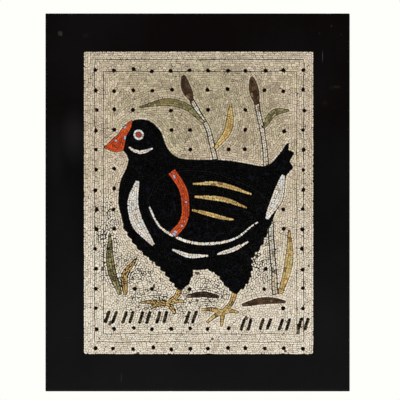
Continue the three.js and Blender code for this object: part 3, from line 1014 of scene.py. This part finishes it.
def chipEdges(points, low, high):
    # chips along the front and back edges: each is a bell curve along the rim, deepest right at the edge
    count = points.shape[1]
    flat = points[:, :, ::2]
    nearSide = np.clip(1 - np.minimum(flat - low, high - flat).min(axis=2) / 0.8, 0, 1)
    thickness = points[:, :, 1].max()
    for edge, weight in ((0.0, 1.0), (thickness, 1.6)):
        at = draw.uniform(0, count, slab["chips"])
        width = draw.uniform(0.5, 1.6, slab["chips"])
        size = draw.uniform(0.15, 1, slab["chips"]) ** 3 * slab["chipSize"] * weight
        apart = np.abs(np.arange(count)[:, None] - at)
        dent = (size * np.exp(-(np.minimum(apart, count - apart) / width) ** 2)).sum(axis=1)
        nearEdge = np.clip(1 - np.abs(points[:, :, 1] - edge) / 0.8, 0, 1)
        push = np.minimum(dent, 0.6) * nearEdge * nearSide
        points[:, :, 1] += push * (1 if edge == 0 else -1)
        flat -= np.sign(flat - (low + high) / 2) * push[:, :, None] * 0.5


def marbleSlab():
    # the rings side by side, joined by quads
    low, high = boxOf("marble_surround")
    counts = (*np.ceil((high - low) / slab["step"]).astype(int), 5)
    points = np.array([np.insert(roundedRectangle(*ring, counts), 1, depth, axis=1)
                       for *ring, depth in slabRings()])
    chipEdges(points, low, high)
    ring = np.arange(points.size // 3).reshape(points.shape[:2])
    points = points.reshape(-1, 3) * metre + (0, faceY, 0)
    faces = facesOf(bandsOf(ring), ring[0], ring[-1][::-1])
    piece = makeMesh("marbleSlab", points, *faces, sharpAngle=30)
    finishPiece(piece, marbleMaterial(), ["marble_surround"])


# The black marble: a polished face with faint clouds, specks and hairlines, painted reflection towards the
# lower edge and in soft patches, honed edges and a sawn back

marble = {
    "warmBlack": (0.0019, 0.0007, 0.0009),  # the upper part
    "black": (0.0014, 0.0014, 0.0014),  # the rest
    # painted reflection: the face pales to this grey towards its lower edge; the same grey gives the faint
    # clouds and the honed sides
    "cloud": (0.0052, 0.0052, 0.0054),  # towards the lower edge
    # painted reflection: the grey of soft light patches on the polished face
    "haze": (0.0125, 0.0112, 0.0118),
    "honed": (0.011, 0.0105, 0.011),
    "sawn": (0.042, 0.041, 0.043),
    "speck": (0.034, 0.029, 0.022),
    "hairline": (0.05, 0.048, 0.046),
    "brown": (0.018, 0.009, 0.006),
    "polish": 0.14,
    "shine": 0.07,
}

marbleMarks = {  # ovals: across, up, width and height in millimetres, and how strong
    # painted reflections: soft light patches, most of them down the left side and along the bottom
    "hazes": ((-77, 41, 24, 42, 1.0), (-88, 30, 16, 60, 0.4), (-84, -12, 34, 80, 0.22),
              (-84, -80, 30, 60, 0.2), (82, -82, 30, 50, 0.2), (-84, -112, 60, 14, 0.1)),
    "speck": ((-85.4, 106.0, 3.6, 3.4, 0.75), (-84.8, 104.9, 1.8, 1.5, 0.95), (-69.4, 104.6, 5, 3, 0.1),
              (76.5, 106, 1.3, 1.0, 0.35), (84, 110.5, 1.2, 1.5, 0.35), (90, 105, 1.1, 0.9, 0.3),
              (-30, -111, 1.2, 0.8, 0.25)),
    "hairline": ((78.4, 91.5, 0.6, 9, 0.8), (-47.3, -109, 0.5, 7.5, 0.5), (-80, -84, 5, 0.3, 0.3)),
    "brown": ((86, 72, 10, 3.2, 0.8), (80, 62, 5, 6, 0.35)),
}


def marks(wire, at, ovals, soft=0.4):
    # 1 in the middle of each oval, 0 outside: the distance from its middle after scaling by its size
    total = None
    for across, up, width, height, strength in ovals:
        scale = (2 / width / metre, 0, 2 / height / metre)
        shift = (-2 * across / width, 0, -2 * up / height)
        scaled = wire.node("Mapping", {"Vector": at, "Location": shift, "Scale": scale})
        away = wire.node("VectorMath", {0: scaled}, 1, operation="LENGTH")
        mark = (1 - away.over(soft, 1.1)) * strength
        total = mark if total is None else wire.math("MAXIMUM", total, mark)
    return total


def marbleMaterial():
    material, wire = startMaterial("blackMarble")
    broad = grain(wire, 38, detail=3)
    fine = grain(wire, 2.2, detail=4)
    depth, height = (wire.node("SeparateXYZ", {0: place(wire)}, number) for number in (1, 2))
    downwards = 0 - height
    colour = downwards.over(-0.058, -0.03).blend(marble["warmBlack"], marble["black"])
    # painted reflection: paler towards the lower edge, with faint broad and fine clouds mixed in
    cloud = downwards.over(0.015, 0.075) * 0.75 + broad.over(0.4, 0.75) * 0.5 + fine.over(0.5, 0.8) * 0.12
    colour = cloud.blend(colour, marble["cloud"])
    ragged = wire.node("TexNoise", {"Vector": place(wire), "Scale": 900.0, "Detail": 2.0}, output=1)
    shaken = wire.node("VectorMath", {0: ragged, 1: (0.0008, 0.0008, 0.0008), 2: place(wire)},
                       operation="MULTIPLY_ADD")
    # painted reflection: soft light patches, broken up by the broad clouds
    haze = marks(wire, place(wire), marbleMarks["hazes"], soft=0.0) * (broad.over(0.2, 0.7) * 0.6 + 0.4)
    colour = haze.blend(colour, marble["haze"])
    for key in ("speck", "hairline"):
        colour = marks(wire, shaken, marbleMarks[key]).blend(colour, marble[key])
    colour = (marks(wire, shaken, marbleMarks["brown"]) * fine.over(0.4, 0.6)).blend(colour, marble["brown"])
    isSide = depth.over(faceY + 0.0003, faceY + 0.0007)
    isBack = depth.over(-0.0005, -0.0002)
    sawMarks = grain(wire, 0.9, detail=3, stretch=(0.03, 1, 1))
    clouds = grain(wire, 14, detail=6)
    dusty = (sawMarks * 0.3 + clouds * 0.5 + fine * 0.2).over(0.34, 0.64)
    colour = isSide.blend(colour, fine.blend(marble["cloud"], marble["honed"]))
    colour = isBack.blend(colour, dusty.blend(marble["honed"], marble["sawn"]))
    roughness = fine * 0.06 + isSide * 0.22 + isBack * 0.3 + marble["polish"]
    dress(wire, colour, roughness, marble["shine"], (0.5, 0.0001, sawMarks * isBack + fine * isSide * 0.3))
    return material


# The pale floor under the panel

def paleFloor():
    # rings of growing radius round the middle
    rings, spokes = 24, 96
    radius = np.linspace(0.0, studio["floorRadius"], rings + 1)[1:, None]
    turn = np.arange(spokes) / spokes * 2 * math.pi
    z = cadBox[0].z - studio["floorDrop"]
    flat = np.stack([radius * np.cos(turn), radius * np.sin(turn), np.full((rings, spokes), z)], axis=2)
    index = np.arange(rings * spokes).reshape(rings, spokes)
    piece = makeMesh("floor", flat.reshape(-1, 3), *facesOf(bandsOf(index), index[0]))
    material, wire = startMaterial("palePaper")
    paper = grain(wire, 6, detail=2).blend((0.8, 0.8, 0.78), (0.84, 0.84, 0.82))
    feedShader(wire, {"Base Color": paper, "Roughness": 0.9, "Emission Color": studio["backdropColour"],
                      "Emission Strength": studio["floorGlow"]})  # the glow hides the disc's edge
    piece.data.materials.append(material)


print("camera, floor and light")
setCamera()
setSky()
setLamps()
paleFloor()
print("reading the fields")
fields = readFields()
print("laying the tesserae")
places = dotPlaces(fields)
seeds, fieldOf, tesseraOf = layTesserae(fields, places)
tesseraePieces(fields, seeds, fieldOf, tesseraOf)
print("mastic bed")
masticBed(fields)
print("marble slab")
marbleSlab()
scene.view_settings.view_transform = "Standard"
